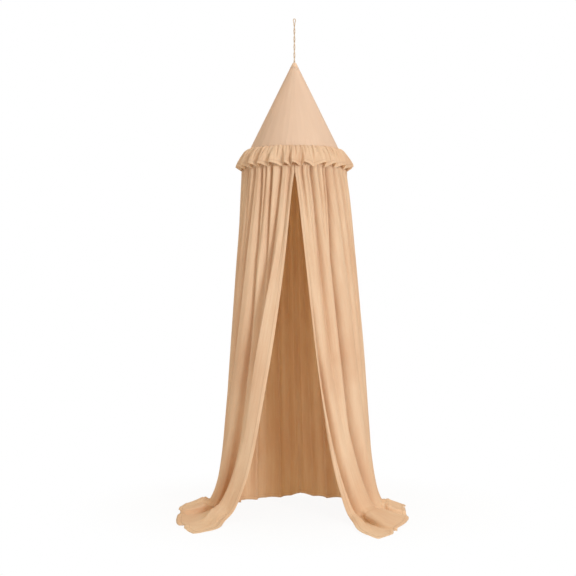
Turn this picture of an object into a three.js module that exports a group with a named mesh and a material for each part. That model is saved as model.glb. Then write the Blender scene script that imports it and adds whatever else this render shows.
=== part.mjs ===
// Bed crown canopy. A cotton cone hangs on a doubled cord, a hoop spreads its mouth, and a ruffle
// and a long gathered drape are sewn into the seam round the hoop. The drape is open in front, and
// its two front curtains end in trains that lie on the floor.
// Millimetres, +Z up, doorway towards -Y. The origin is the middle of the eye that takes the hook.

import * as THREE from 'three';

// Whole canopy: heights are measured from the floor
const hangHeight = 2500;
const tipHeight = 2279;
const crownSeamHeight = 1828;
const crownSeamRadius = 231;
const clothThickness = 3;
const sewnGap = 0.3;

// Cord: two strands of one cord, twisted on themselves
const cordDiameter = 4.6;
const strandGap = 1;
const eyeInnerRadius = 3.5;
const cordHalfTurns = 5;
const pointsPerHalfTurn = 6;
const cordSides = 8;

// Knot that stops the cord inside the tip
const knotRadius = 11;
const knotWaistShare = 0.88;
const knotSteps = 16;

// Tip binding: a small cap stitched over the point of the cone
const tipHoleClearance = 0.8;
const tipFaceRadius = 8.2;
const tipBindingHeight = 24;
const tipBindingThickness = 1.6;

// Cone: two shaped halves, joined by seams at the sides
const coneColumns = 24;
const coneRows = 3;

// Hoop in two halves, with a sleeve over each joint
const hoopHeight = 1795;
const hoopRadius = 244;
const hoopRodDiameter = 8;
const hoopSteps = 24;
const hoopSides = 8;
const sleeveLength = 62;
const sleeveWall = 1.2;
const sleeveSteps = 2;

// Casing: the cloth tunnel round the hoop, its two edges meeting at the crown seam
const casingThickness = 2;
const casingSlot = 1;
const casingArcPoints = 9;

// Drape heading: the top of the drape, gathered into the crown seam behind the ruffle
const headingBelowRuffle = 3;
const headingLowerSpread = 3;
const headingGatherDepth = 5;
const headingGatherShares = [0, 0.3, 0.6, 1];
const headingGathers = 18;
const columnsPerGather = 4;

// Ruffle: a frill gathered into the crown seam
const ruffleValleyDrop = 111;
const ruffleCrestDrop = 85;
const ruffleFlare = 36;
const ruffleFlareShares = [0.1, 0.4, 0.35, 0.65, 1];
const ruffleMiddleShare = 0.5;
const scallopsPerHalf = 11;
const columnsPerScallop = 6;

// Drape: four lengths of cloth. Each side seam is a straight line that leans out to the floor
const curtainTopClearance = 21;
const frontEdgeGap = 3;
const leftSideReach = 332;
const rightSideReach = 372;
const backReach = 262;
const backHemHeight = 5;
const foldDepthTop = 12;
const foldDepthLow = 20;
const curtainColumns = 32;
const curtainFoldsTop = 8;
const curtainFoldsLow = 4;
const backColumns = 24;
const backFoldsTop = 6;
const backFoldsLow = 3;
const backRows = 7;

// Trains: where each front curtain meets the floor and where its hem ends, from the side seam to
// the front edge, as shares of how far the train reaches to the side and to the front. The front
// edge bows towards the doorway on the floor.
const leftTrainSide = 576;
const leftTrainFront = 716;
const leftTrainBow = 50;
const leftTouchShares = [
  [0.68, 0.05], [0.73, 0.11], [0.75, 0.16], [0.75, 0.21], [0.74, 0.26], [0.71, 0.3], [0.67, 0.45], [0.58, 0.6],
];
const leftHemShares = [
  [0.76, 0.01], [0.9, 0.02], [0.95, 0.07], [0.98, 0.15], [1, 0.25], [1, 0.38], [0.965, 0.73], [0.81, 1],
];
const rightTrainSide = 556;
const rightTrainFront = 830;
const rightTrainBow = 15;
const rightTouchShares = [
  [0.76, 0.05], [0.81, 0.1], [0.82, 0.16], [0.81, 0.23], [0.77, 0.31], [0.71, 0.37], [0.61, 0.46], [0.475, 0.53],
];
const rightHemShares = [
  [0.87, 0.02], [0.96, 0.07], [0.995, 0.14], [1, 0.25], [0.99, 0.4], [0.965, 0.57], [0.835, 0.82], [0.67, 1],
];
const trainRidge = 24;

// How a curtain spreads on its way down, at its side and at its front edge, before the kick out
// at the floor
const leftSidePower = 0.85;
const leftFrontPower = 1.55;
const leftKickPower = 14;
const rightSidePower = 0.62;
const rightFrontPower = 1;
const rightKickPower = 9;
const sideKickPower = 14;
const kickShare = 0.25;
const seamSpreadShare = 0.2;
const curtainRowShares = [0, 0.13, 0.26, 0.38, 0.5, 0.6, 0.69, 0.76, 0.81, 0.85, 0.89, 0.93, 0.965, 1];
const slopeStepShare = 0.01;
const squareShare = 0.1;

const cotton = new THREE.MeshStandardMaterial({ color: 0xe3b78f, roughness: 0.92, metalness: 0 });
const ruffleCotton = new THREE.MeshStandardMaterial({ color: 0xe6bc95, roughness: 0.92, metalness: 0 });
const cordCotton = new THREE.MeshStandardMaterial({ color: 0xd9ae86, roughness: 0.95, metalness: 0 });
const hoopPlastic = new THREE.MeshStandardMaterial({ color: 0xe9e4da, roughness: 0.45, metalness: 0 });
const sleeveMetal = new THREE.MeshStandardMaterial({ color: 0xb9bcc0, roughness: 0.35, metalness: 0.9 });

const fullTurn = 2 * Math.PI;
const quarterTurn = Math.PI / 2;

// The canopy stands in a group whose zero height is the floor
const canopy = new THREE.Group();
canopy.position.z = -hangHeight;

function addPiece(name, geometry, material) {
  const mesh = new THREE.Mesh(geometry, material);
  mesh.name = name;
  canopy.add(mesh);
}

function evenShares(count) {
  return Array.from({ length: count + 1 }, (_, index) => index / count);
}

function wave(share, folds) {
  return Math.sin(Math.PI * folds * share) ** 2;
}

// A closed wall of cloth. face(across, down, isInner) gives a point of its outer or inner face.
// Across runs to the right as seen from outside, or to the left if the wall is mirrored.
function clothWall(face, acrossShares, downShares, { isRing = false, isMirrored = false } = {}) {
  const columns = acrossShares.length;
  const rows = downShares.length;
  const positions = [];
  for (const isInner of [false, true]) {
    for (const down of downShares) {
      for (const across of acrossShares) {
        positions.push(...face(across, down, isInner).toArray());
      }
    }
  }

  const corner = (layer, row, column) => (layer * rows + row) * columns + (column % columns);
  const index = [];
  const addQuad = (a, b, c, d) => index.push(a, b, c, a, c, d);
  const strips = isRing ? columns : columns - 1;
  for (let column = 0; column < strips; column++) {
    const next = column + 1;
    for (let row = 0; row < rows - 1; row++) {
      addQuad(corner(0, row, column), corner(0, row + 1, column), corner(0, row + 1, next), corner(0, row, next));
      addQuad(corner(1, row, column), corner(1, row, next), corner(1, row + 1, next), corner(1, row + 1, column));
    }
    const last = rows - 1;
    addQuad(corner(0, 0, column), corner(0, 0, next), corner(1, 0, next), corner(1, 0, column));
    addQuad(corner(0, last, column), corner(1, last, column), corner(1, last, next), corner(0, last, next));
  }
  if (!isRing) {
    const end = columns - 1;
    for (let row = 0; row < rows - 1; row++) {
      addQuad(corner(0, row, 0), corner(1, row, 0), corner(1, row + 1, 0), corner(0, row + 1, 0));
      addQuad(corner(0, row, end), corner(0, row + 1, end), corner(1, row + 1, end), corner(1, row, end));
    }
  }
  if (isMirrored) index.reverse();

  const geometry = new THREE.BufferGeometry();
  geometry.setAttribute('position', new THREE.Float32BufferAttribute(positions, 3));
  geometry.setIndex(index);
  return geometry;
}

function onCircle(radius, angle, height) {
  return new THREE.Vector3(radius * Math.cos(angle), radius * Math.sin(angle), height);
}

// A profile in radius and height, upwards on its outside, turned about the cord's axis
function turned(points, steps) {
  const profile = points.map(([radius, height]) => new THREE.Vector2(radius, height));
  const geometry = new THREE.LatheGeometry(profile, steps);
  geometry.rotateX(quarterTurn);
  return geometry;
}

function circleShape(radius, sides) {
  const corners = evenShares(sides).slice(0, sides).map((share) => {
    const angle = fullTurn * share;
    return new THREE.Vector2(radius * Math.cos(angle), radius * Math.sin(angle));
  });
  return new THREE.Shape(corners);
}

// Cone sizes that the pieces inside and on it share
const coneSlope = (crownSeamRadius - tipFaceRadius) / (tipHeight - crownSeamHeight);
const coneAngle = Math.atan(coneSlope);
const coneWallAcross = clothThickness / Math.cos(coneAngle);
const coneRadiusAt = (height) => crownSeamRadius + (crownSeamHeight - height) * coneSlope;
const strandOffset = (cordDiameter + strandGap) / 2;
const cordRadius = strandOffset + cordDiameter / 2;
const tipHoleRadius = cordRadius + tipHoleClearance;
const coneTopHeight = crownSeamHeight + (crownSeamRadius - tipHoleRadius - coneWallAcross) / coneSlope;

// Knot: it seats in the inside of the point
const coneInsideApexHeight = crownSeamHeight + (crownSeamRadius - coneWallAcross) / coneSlope;
const knotHeight = coneInsideApexHeight - (knotRadius + sewnGap) / Math.sin(coneAngle);
const knotTopHeight = knotHeight + Math.sqrt(knotRadius ** 2 - cordRadius ** 2);

// A ball with a shallow waist where the strands cross, flat where they come out
function knotGeometry() {
  const topAngle = Math.asin(cordRadius / knotRadius);
  const stops = evenShares(12);
  const profile = stops.map((share) => {
    const angle = topAngle + (Math.PI - topAngle) * share;
    const waist = 1 - (1 - knotWaistShare) * wave(share, 2) * (share < 1 / 2 ? 0 : 1);
    return [knotRadius * waist * Math.sin(angle), knotHeight + knotRadius * waist * Math.cos(angle)];
  });
  profile[profile.length - 1][0] = 0;
  return turned([[0, knotTopHeight], ...profile].reverse(), knotSteps);
}
addPiece('cord_knot', knotGeometry(), cordCotton);

// A curve that takes the same number of steps between each two of its points
class PointSteppedCurve extends THREE.CatmullRomCurve3 {
  getUtoTmapping(share) {
    return share;
  }
}

// One strand rises from the knot in a slow helix, opens round the eye and comes down as the other
function cordRoute() {
  const eyeRadius = eyeInnerRadius + cordDiameter / 2;
  const startHeight = knotTopHeight + sewnGap;
  const twistStart = startHeight + cordDiameter;
  const twistEnd = hangHeight - 2 * eyeRadius - cordDiameter;
  const twistSteps = cordHalfTurns * pointsPerHalfTurn;
  const rising = [onCircle(strandOffset, -Math.PI * cordHalfTurns, startHeight)];
  for (const share of evenShares(twistSteps)) {
    const angle = Math.PI * cordHalfTurns * (share - 1);
    rising.push(onCircle(strandOffset, angle, twistStart + (twistEnd - twistStart) * share));
  }
  const neckHeight = (twistEnd + hangHeight - eyeRadius) / 2;
  rising.push(new THREE.Vector3((strandOffset + eyeRadius) / 2, 0, neckHeight + cordDiameter / 2));
  rising.push(new THREE.Vector3(eyeRadius, 0, hangHeight - eyeRadius / 4));
  rising.push(new THREE.Vector3(eyeRadius * Math.SQRT1_2, 0, hangHeight + eyeRadius * Math.SQRT1_2));
  const falling = rising.map((point) => new THREE.Vector3(-point.x, -point.y, point.z)).reverse();
  return [...rising, new THREE.Vector3(0, 0, hangHeight + eyeRadius), ...falling];
}

function leastGapToItself(points, diameter) {
  const reach = 4 * diameter;
  let least = Infinity;
  for (let first = 0; first < points.length; first++) {
    let along = 0;
    for (let second = first + 1; second < points.length; second++) {
      along += points[second].distanceTo(points[second - 1]);
      if (along > reach) least = Math.min(least, points[first].distanceTo(points[second]) - diameter);
    }
  }
  return least;
}

const cordPoints = cordRoute();
const cordCurve = new PointSteppedCurve(cordPoints, false, 'centripetal');
const cordSamples = cordCurve.getPoints(8 * cordPoints.length);
console.log(`Cord length ${cordCurve.getLength().toFixed(1)} mm`);
console.log(`Cord's least gap to itself ${leastGapToItself(cordSamples, cordDiameter).toFixed(2)} mm`);

addPiece('hanging_cord', new THREE.ExtrudeGeometry(circleShape(cordDiameter / 2, cordSides), {
  steps: cordPoints.length - 1,
  extrudePath: cordCurve,
  bevelEnabled: false,
}), cordCotton);

// Tip binding: its flat face is the blunt end that the cord comes out of
const bindingLowerHeight = tipHeight - tipBindingHeight;
const coneTopOuterRadius = tipHoleRadius + coneWallAcross;
addPiece('tip_binding', turned([
  [tipHoleRadius, tipHeight],
  [tipHoleRadius, coneTopHeight + sewnGap],
  [coneTopOuterRadius + sewnGap, coneTopHeight + sewnGap],
  [coneRadiusAt(bindingLowerHeight) + sewnGap, bindingLowerHeight],
  [coneRadiusAt(bindingLowerHeight) + sewnGap + tipBindingThickness, bindingLowerHeight],
  [coneTopOuterRadius + sewnGap + tipBindingThickness, coneTopHeight + sewnGap],
  [tipFaceRadius, tipHeight],
  [tipHoleRadius, tipHeight],
], coneColumns), cotton);

// One half of the cone, from side seam to side seam
function coneHalf(startAngle) {
  return clothWall((across, down, isInner) => {
    const height = coneTopHeight + (crownSeamHeight - coneTopHeight) * down;
    const radius = coneRadiusAt(height) - (isInner ? coneWallAcross : 0);
    const seamAngle = sewnGap / 2 / radius;
    const angle = startAngle + seamAngle + (Math.PI - 2 * seamAngle) * across;
    return onCircle(radius, angle, height);
  }, evenShares(coneColumns), evenShares(coneRows));
}
addPiece('cone_front', coneHalf(Math.PI), cotton);
addPiece('cone_back', coneHalf(0), cotton);

// Hoop: a rod bent to half a ring, from side to side
class HoopArc extends THREE.Curve {
  constructor(startAngle, sweep) {
    super();
    this.startAngle = startAngle;
    this.sweep = sweep;
  }

  getPoint(share) {
    return onCircle(hoopRadius, this.startAngle + this.sweep * share, hoopHeight);
  }
}

function hoopHalf(startAngle) {
  const endGap = sewnGap / 2 / hoopRadius;
  return new THREE.ExtrudeGeometry(circleShape(hoopRodDiameter / 2, hoopSides), {
    steps: hoopSteps,
    extrudePath: new HoopArc(startAngle + endGap, Math.PI - 2 * endGap),
    bevelEnabled: false,
  });
}
addPiece('hoop_front_half', hoopHalf(Math.PI), hoopPlastic);
addPiece('hoop_back_half', hoopHalf(0), hoopPlastic);

// Sleeves: short tubes that hold the two halves of the hoop end to end. The straight steps of the
// hoop cut inside its curve, and what goes round it clears them.
const hoopSagitta = hoopRadius * (1 - Math.cos(quarterTurn / hoopSteps));
const sleeveInnerRadius = hoopRodDiameter / 2 + hoopSagitta + sewnGap;
const sleeveOuterRadius = sleeveInnerRadius + sleeveWall;

function hoopSleeve(middleAngle) {
  const section = circleShape(sleeveOuterRadius, hoopSides);
  section.holes.push(circleShape(sleeveInnerRadius, hoopSides));
  const sweep = sleeveLength / hoopRadius;
  return new THREE.ExtrudeGeometry(section, {
    steps: sleeveSteps,
    extrudePath: new HoopArc(middleAngle - sweep / 2, sweep),
    bevelEnabled: false,
  });
}
addPiece('left_hoop_sleeve', hoopSleeve(Math.PI), sleeveMetal);
addPiece('right_hoop_sleeve', hoopSleeve(0), sleeveMetal);

// Seam allowances lie one inside the other under the rim of the cone: ruffle, heading, casing
const rimHeight = crownSeamHeight - sewnGap;
const ruffleTopInner = crownSeamRadius - clothThickness;
const headingTopInner = ruffleTopInner - sewnGap - clothThickness;

// Casing: round the hoop, then up to the seam as two lips with the slot between them
const channelRadius = (sleeveOuterRadius + hoopSagitta + sewnGap) / Math.cos(Math.PI / casingArcPoints);
const casingOuterRadius = channelRadius + casingThickness;
const casingTopRadius = headingTopInner - sewnGap;

function casingGeometry() {
  const lipRun = new THREE.Vector2(casingTopRadius - hoopRadius, rimHeight - hoopHeight);
  const lipAngle = lipRun.angle();
  const arc = (radius, halfSlot, sign) => evenShares(casingArcPoints - 1).map((share) => {
    const openHalf = Math.asin(halfSlot / radius);
    const angle = lipAngle + sign * (openHalf + (fullTurn - 2 * openHalf) * share);
    return [hoopRadius + radius * Math.cos(angle), hoopHeight + radius * Math.sin(angle)];
  });
  const outer = arc(casingOuterRadius, casingSlot / 2 + casingThickness, 1);
  const inner = arc(channelRadius, casingSlot / 2, -1);
  return turned([...outer, ...inner, outer[0]], 2 * hoopSteps);
}
addPiece('hoop_casing', casingGeometry(), cotton);

// Heading: the inner face clears the casing as a corner of an octagon round it would
const casingClearRadius = casingOuterRadius + sewnGap;
const headingLowerHeight = crownSeamHeight - ruffleValleyDrop - headingBelowRuffle;
const octagonShare = Math.tan(Math.PI / 8);
const headingRows = [
  [headingTopInner, rimHeight],
  [hoopRadius + casingClearRadius * octagonShare, hoopHeight + casingClearRadius],
  [hoopRadius + casingClearRadius, hoopHeight + casingClearRadius * octagonShare],
  [hoopRadius + casingClearRadius + headingLowerSpread, headingLowerHeight],
];

function headingFace(across, down, isInner) {
  const row = Math.round(down * (headingRows.length - 1));
  const [radius, height] = headingRows[row];
  const gather = headingGatherDepth * headingGatherShares[row] * wave(across, headingGathers);
  return onCircle(radius + gather + (isInner ? 0 : clothThickness), fullTurn * across, height);
}
const headingColumns = headingGathers * columnsPerGather;
addPiece('drape_heading', clothWall(
  headingFace,
  evenShares(headingColumns).slice(0, headingColumns),
  evenShares(headingRows.length - 1),
  { isRing: true },
), cotton);

// Ruffle: its valleys rest on the heading and its crests flare out
const headingOuterRows = headingRows.map(([radius, height], row) => {
  return [radius + clothThickness + headingGatherDepth * headingGatherShares[row] + sewnGap, height];
});
const ruffleMiddleRow = [
  THREE.MathUtils.lerp(headingOuterRows[2][0], headingOuterRows[3][0], ruffleMiddleShare),
  THREE.MathUtils.lerp(headingOuterRows[2][1], crownSeamHeight - ruffleValleyDrop, ruffleMiddleShare),
];
const ruffleRows = [
  ...headingOuterRows.slice(0, 3),
  ruffleMiddleRow,
  [headingOuterRows[3][0], crownSeamHeight - ruffleValleyDrop],
];

function ruffleHalf(startAngle) {
  return clothWall((across, down, isInner) => {
    const row = Math.round(down * (ruffleRows.length - 1));
    const [valleyRadius, valleyHeight] = ruffleRows[row];
    const crest = wave(across, scallopsPerHalf);
    const radius = valleyRadius + ruffleFlare * ruffleFlareShares[row] * crest + (isInner ? 0 : clothThickness);
    const lift = (rimHeight - valleyHeight) * (1 - ruffleCrestDrop / ruffleValleyDrop) * crest;
    const seamAngle = sewnGap / 2 / radius;
    const angle = startAngle + seamAngle + (Math.PI - 2 * seamAngle) * across;
    return onCircle(radius, angle, valleyHeight + lift);
  }, evenShares(scallopsPerHalf * columnsPerScallop), evenShares(ruffleRows.length - 1));
}
addPiece('ruffle_front', ruffleHalf(Math.PI), ruffleCotton);
addPiece('ruffle_back', ruffleHalf(0), ruffleCotton);

// Drape: the inner face of the cloth at its top, behind the lower edge of the ruffle
const drapeTopRadius = headingRows[3][0];
const backTopHeight = headingLowerHeight - sewnGap;
const curtainTopHeight = headingLowerHeight - curtainTopClearance;

// The straight side seam: how far out the inner face of the cloth is at a height
function sideReachAt(height, sideReach) {
  return THREE.MathUtils.lerp(sideReach, drapeTopRadius, height / curtainTopHeight);
}

// Displaces a smooth surface along its own normal: folds, then the thickness of the cloth. The
// normal is level at the top edge, so that the edge stays at one height, and square to a seam at
// the seam, so that the two edges there stay face to face.
function foldedFace(surface, foldDepth, squareTo, isMirrored) {
  const step = slopeStepShare;
  return (across, down, isInner) => {
    const point = surface(across, down);
    const alongAcross = surface(Math.min(1, across + step), down).sub(surface(Math.max(0, across - step), down));
    const alongDown = surface(across, Math.min(1, down + step)).sub(surface(across, Math.max(0, down - step)));
    const normal = alongDown.cross(alongAcross).multiplyScalar(isMirrored ? -1 : 1);
    normal.multiply(squareTo(across)).setZ(normal.z * down).normalize();
    return point.addScaledVector(normal, foldDepth(across, down, isInner) + (isInner ? 0 : clothThickness));
  };
}

// A back panel runs from the centre-back seam to a side seam
function backPanel(side, sideReach) {
  const surface = (across, down) => {
    const height = THREE.MathUtils.lerp(backTopHeight, backHemHeight, down);
    const sideRadius = sideReachAt(height, sideReach);
    const backRadius = THREE.MathUtils.lerp(backReach, drapeTopRadius, height / backTopHeight);
    const angle = quarterTurn * across;
    const x = Math.sin(angle) * sideRadius + sewnGap / 2;
    const y = Math.cos(angle) * backRadius + sewnGap / 2;
    return new THREE.Vector3(side * x, y, height);
  };
  const squareTo = (across) => new THREE.Vector3(
    Math.min(1, across / squareShare),
    Math.min(1, (1 - across) / squareShare),
    1,
  );
  const foldDepth = (across, down) => foldDepthTop * (1 - down) * wave(across, backFoldsTop)
    + foldDepthLow * down * wave(across, backFoldsLow);
  const isMirrored = side > 0;
  return clothWall(
    foldedFace(surface, foldDepth, squareTo, isMirrored),
    evenShares(backColumns),
    evenShares(backRows),
    { isMirrored },
  );
}
addPiece('left_back_panel', backPanel(-1, leftSideReach), cotton);
addPiece('right_back_panel', backPanel(1, rightSideReach), cotton);

// A front curtain runs from a side seam to its free edge. Below its fall it lies on the floor.
function frontCurtain(side, sideReach, powers, train) {
  const planCurve = (shares) => new THREE.SplineCurve([
    new THREE.Vector2(sideReach, 0),
    ...shares.map(([sideShare, frontShare]) => new THREE.Vector2(train.side * sideShare, train.front * frontShare)),
  ]);
  const touchCurve = planCurve(train.touchShares);
  const hemCurve = planCurve(train.hemShares);
  const edgeAngle = quarterTurn - frontEdgeGap / 2 / drapeTopRadius;

  const surface = (across, down) => {
    const top = new THREE.Vector2(
      drapeTopRadius * Math.cos(edgeAngle * across),
      drapeTopRadius * Math.sin(edgeAngle * across),
    );
    const touch = touchCurve.getPoint(across);
    const hem = hemCurve.getPoint(across);
    const floorLength = touch.distanceTo(hem);
    const along = down * (curtainTopHeight + floorLength);
    const fall = Math.min(1, along / curtainTopHeight);
    const spreadPower = THREE.MathUtils.lerp(powers.side, powers.front, across);
    const kickPower = THREE.MathUtils.lerp(sideKickPower, powers.kick, across);
    const spread = (1 - kickShare) * fall ** spreadPower + kickShare * fall ** kickPower;
    const plan = top.lerp(touch, THREE.MathUtils.lerp(fall, spread, Math.min(1, across / seamSpreadShare)));
    if (along > curtainTopHeight) {
      const share = (along - curtainTopHeight) / floorLength;
      const bow = train.bow * across ** 3 * share * wave(share, 1) * 2;
      const aside = new THREE.Vector2(touch.y - hem.y, hem.x - touch.x).normalize();
      plan.lerp(hem, share).addScaledVector(aside, bow);
    }
    return new THREE.Vector3(side * plan.x, -plan.y - sewnGap / 2, curtainTopHeight * (1 - fall));
  };
  const squareTo = (across) => new THREE.Vector3(1, Math.min(1, across / squareShare), 1);

  const foldDepth = (across, down, isInner) => {
    const floorLength = touchCurve.getPoint(across).distanceTo(hemCurve.getPoint(across));
    const along = down * (curtainTopHeight + floorLength);
    const fall = Math.min(1, along / curtainTopHeight);
    if (fall < 1) {
      return foldDepthTop * (1 - fall) * wave(across, curtainFoldsTop)
        + foldDepthLow * fall * wave(across, curtainFoldsLow);
    }
    return isInner ? 0 : trainRidge * wave(across, curtainFoldsLow);
  };
  const isMirrored = side > 0;
  return clothWall(
    foldedFace(surface, foldDepth, squareTo, isMirrored),
    evenShares(curtainColumns),
    curtainRowShares,
    { isMirrored },
  );
}
addPiece('left_front_curtain', frontCurtain(
  -1,
  leftSideReach,
  { side: leftSidePower, front: leftFrontPower, kick: leftKickPower },
  {
    side: leftTrainSide,
    front: leftTrainFront,
    bow: leftTrainBow,
    touchShares: leftTouchShares,
    hemShares: leftHemShares,
  },
), cotton);
addPiece('right_front_curtain', frontCurtain(
  1,
  rightSideReach,
  { side: rightSidePower, front: rightFrontPower, kick: rightKickPower },
  {
    side: rightTrainSide,
    front: rightTrainFront,
    bow: rightTrainBow,
    touchShares: rightTouchShares,
    hemShares: rightHemShares,
  },
), cotton);

export default canopy;
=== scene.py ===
# Bed crown canopy: the looks of a hanging cotton canopy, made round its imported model.
# Metres, +Z up, doorway towards -Y. The origin is the middle of the eye that takes the hook.

import math

import bmesh
import bpy
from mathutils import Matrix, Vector, noise


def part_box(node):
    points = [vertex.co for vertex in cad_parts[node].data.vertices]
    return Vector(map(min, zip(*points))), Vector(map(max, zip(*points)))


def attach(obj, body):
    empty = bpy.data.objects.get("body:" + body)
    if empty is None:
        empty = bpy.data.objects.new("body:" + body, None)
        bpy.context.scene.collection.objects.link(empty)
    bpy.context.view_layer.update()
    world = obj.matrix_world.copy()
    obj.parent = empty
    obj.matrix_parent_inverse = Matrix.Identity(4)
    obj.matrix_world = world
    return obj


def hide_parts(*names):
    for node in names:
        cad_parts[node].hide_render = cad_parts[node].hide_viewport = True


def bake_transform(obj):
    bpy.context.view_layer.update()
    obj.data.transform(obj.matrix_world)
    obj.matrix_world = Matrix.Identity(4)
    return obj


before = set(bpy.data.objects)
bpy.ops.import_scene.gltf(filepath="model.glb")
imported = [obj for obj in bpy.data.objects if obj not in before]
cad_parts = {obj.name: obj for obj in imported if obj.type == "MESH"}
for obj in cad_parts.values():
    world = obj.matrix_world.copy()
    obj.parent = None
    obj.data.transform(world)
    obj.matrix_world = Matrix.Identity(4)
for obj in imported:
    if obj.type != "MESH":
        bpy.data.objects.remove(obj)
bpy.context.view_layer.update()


# Camera: it stands in front of the doorway, 6.2 m away and 1.12 m above the floor, and looks
# level, as in the photograph.
camera = bpy.data.objects.new("camera", bpy.data.cameras.new("camera"))
camera.data.lens = 75.25
camera.data.sensor_width = 36
camera.location = (-0.033, -6.2, -1.38)
camera.rotation_euler = (math.pi / 2, 0, 0)
bpy.context.collection.objects.link(camera)
bpy.context.scene.camera = camera
bpy.context.scene.view_settings.view_transform = "Standard"


# Floor and backdrop: the canopy hangs 2.5 m high and its two trains lie on a plain pale floor,
# which turns into the white of the backdrop a little way out.
floor_z = -2.5
floor_reach = 14
backdrop_from = 0.5
backdrop_to = 1.3
least_backdrop = 0.92
white = (1, 1, 1, 1)


class Shade:
    """A socket of a node tree. Its operators add Math nodes."""

    def __init__(self, tree, socket=None):
        self.tree = tree
        self.socket = socket

    def node(self, kind, settings=None, sockets=None, output=0):
        """Adds any node: its settings first, then the values or links of its sockets."""
        made = self.tree.nodes.new("ShaderNode" + kind)
        for name, value in (settings or {}).items():
            setattr(made, name, value)
        for name, value in (sockets or {}).items():
            if isinstance(value, Shade):
                self.tree.links.new(value.socket, made.inputs[name])
            else:
                made.inputs[name].default_value = value
        return Shade(self.tree, made.outputs[output]) if made.outputs else None

    def math(self, operation, *values):
        return self.node("Math", {"operation": operation}, dict(enumerate(values)))

    def mix(self, share, first, second):
        """Two colours mixed, the second by its share."""
        return self.node("Mix", {"data_type": "RGBA"}, {0: share, 6: first, 7: second}, 2)

    def smooth(self, value, low, high):
        """0 below low, 1 above high, and smooth between them."""
        sockets = {"Value": value, "From Min": low, "From Max": high}
        return self.node("MapRange", {"interpolation_type": "SMOOTHSTEP"}, sockets)

    def __add__(self, other):
        return self.math("ADD", self, other)

    __radd__ = __add__

    def __sub__(self, other):
        return self.math("SUBTRACT", self, other)

    def __rsub__(self, other):
        return self.math("SUBTRACT", other, self)

    def __mul__(self, other):
        return self.math("MULTIPLY", self, other)

    __rmul__ = __mul__


def new_material(name):
    """An empty material, and the Shade that adds its nodes."""
    material = bpy.data.materials.new(name)
    material.use_nodes = True
    material.node_tree.nodes.clear()
    return material, Shade(material.node_tree)


def srgb(red, green, blue):
    """A colour as a screen shows it, each part up to 255, in the linear form that sockets take."""
    def linear(part):
        share = part / 255
        return share / 12.92 if share <= 0.04045 else ((share + 0.055) / 1.055) ** 2.4
    return (linear(red), linear(green), linear(blue), 1)


def seen_directly(shade):
    """1 for rays from the camera and for those seen in gloss or through glass, otherwise 0."""
    seen = shade.node("LightPath", output="Is Camera Ray")
    for name in ("Is Glossy Ray", "Is Transmission Ray"):
        seen = shade.math("MAXIMUM", seen, shade.node("LightPath", output=name))
    return seen


def new_object(name, mesh, material):
    """A smooth-shaded object of a bmesh, at the origin."""
    data = bpy.data.meshes.new(name)
    mesh.to_mesh(data)
    mesh.free()
    data.polygons.foreach_set("use_smooth", [True] * len(data.polygons))
    data.materials.append(material)
    piece = bpy.data.objects.new(name, data)
    bpy.context.collection.objects.link(piece)
    return piece


floor_material, shade = new_material("pale_floor")
place = shade.node("TexCoord", output="Object")
distance = shade.node("VectorMath", {"operation": "LENGTH"}, {0: place}, "Value")
far_out = shade.smooth(distance, backdrop_from, backdrop_to)
backdrop_share = (far_out * (1 - least_backdrop) + least_backdrop) * seen_directly(shade)
paint = shade.node("BsdfPrincipled", {}, {
    "Base Color": srgb(250, 249, 247), "Roughness": 0.9, "Specular IOR Level": 0.1,
})
backdrop = shade.node("Emission", {}, {"Color": white, "Strength": 1})
surface = shade.node("MixShader", {}, {0: backdrop_share, 1: paint, 2: backdrop})
shade.node("OutputMaterial", {}, {"Surface": surface})

mesh = bmesh.new()
bmesh.ops.create_grid(mesh, x_segments=1, y_segments=1, size=floor_reach)
floor = new_object("floor", mesh, floor_material)
floor.location.z = floor_z


# Studio light: a large soft lamp in front on the right, weaker ones on the left and overhead,
# and a pale room all round.
room_light = 0.55
room_warmth = (1, 0.87, 0.66, 1)

world = bpy.data.worlds.new("studio")
world.use_nodes = True
world.node_tree.nodes.clear()
bpy.context.scene.world = world
shade = Shade(world.node_tree)
seen = seen_directly(shade)
background = shade.node("Background", {}, {
    "Color": shade.mix(seen, room_warmth, white), "Strength": seen * (1 - room_light) + room_light,
})
shade.node("OutputWorld", {}, {"Surface": background})


def add_lamp(name, place, target, size, power):
    lamp = bpy.data.objects.new(name, bpy.data.lights.new(name, "AREA"))
    lamp.data.shape = "DISK"
    lamp.data.size = size
    lamp.data.energy = power
    lamp.location = place
    lamp.rotation_euler = (Vector(target) - Vector(place)).to_track_quat("-Z", "Y").to_euler()
    bpy.context.collection.objects.link(lamp)


add_lamp("key_lamp", (2.9, -5.3, -0.1), (0, 0, -1.45), 1.6, 158)
add_lamp("fill_lamp", (-2.6, -5.2, -0.4), (0, 0, -1.4), 3, 30)
add_lamp("top_lamp", (0.4, 0.6, 2.6), (0, 0, -1.2), 3, 50)


# Hanging cord: one soft cotton cord of three plies, laid double over the hook and twisted on
# itself. Its two ends go into the knot inside the tip.
cord_diameter = 0.0046
strand_gap = 0.001
knot_gap = 0.0003
eye_inner_radius = 0.0035
cord_half_turns = 5
steps_per_half_turn = 6
steps_between_points = 5
merge_reach = 0.00001
plies = 3
ply_radius = 0.0012
ply_offset = 0.0012
ply_turns = 62

knot_low, knot_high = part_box("cord_knot")
strand_offset = (cord_diameter + strand_gap) / 2
eye_radius = eye_inner_radius + cord_diameter / 2


def on_circle(radius, angle, height):
    return Vector((radius * math.cos(angle), radius * math.sin(angle), height))


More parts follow.
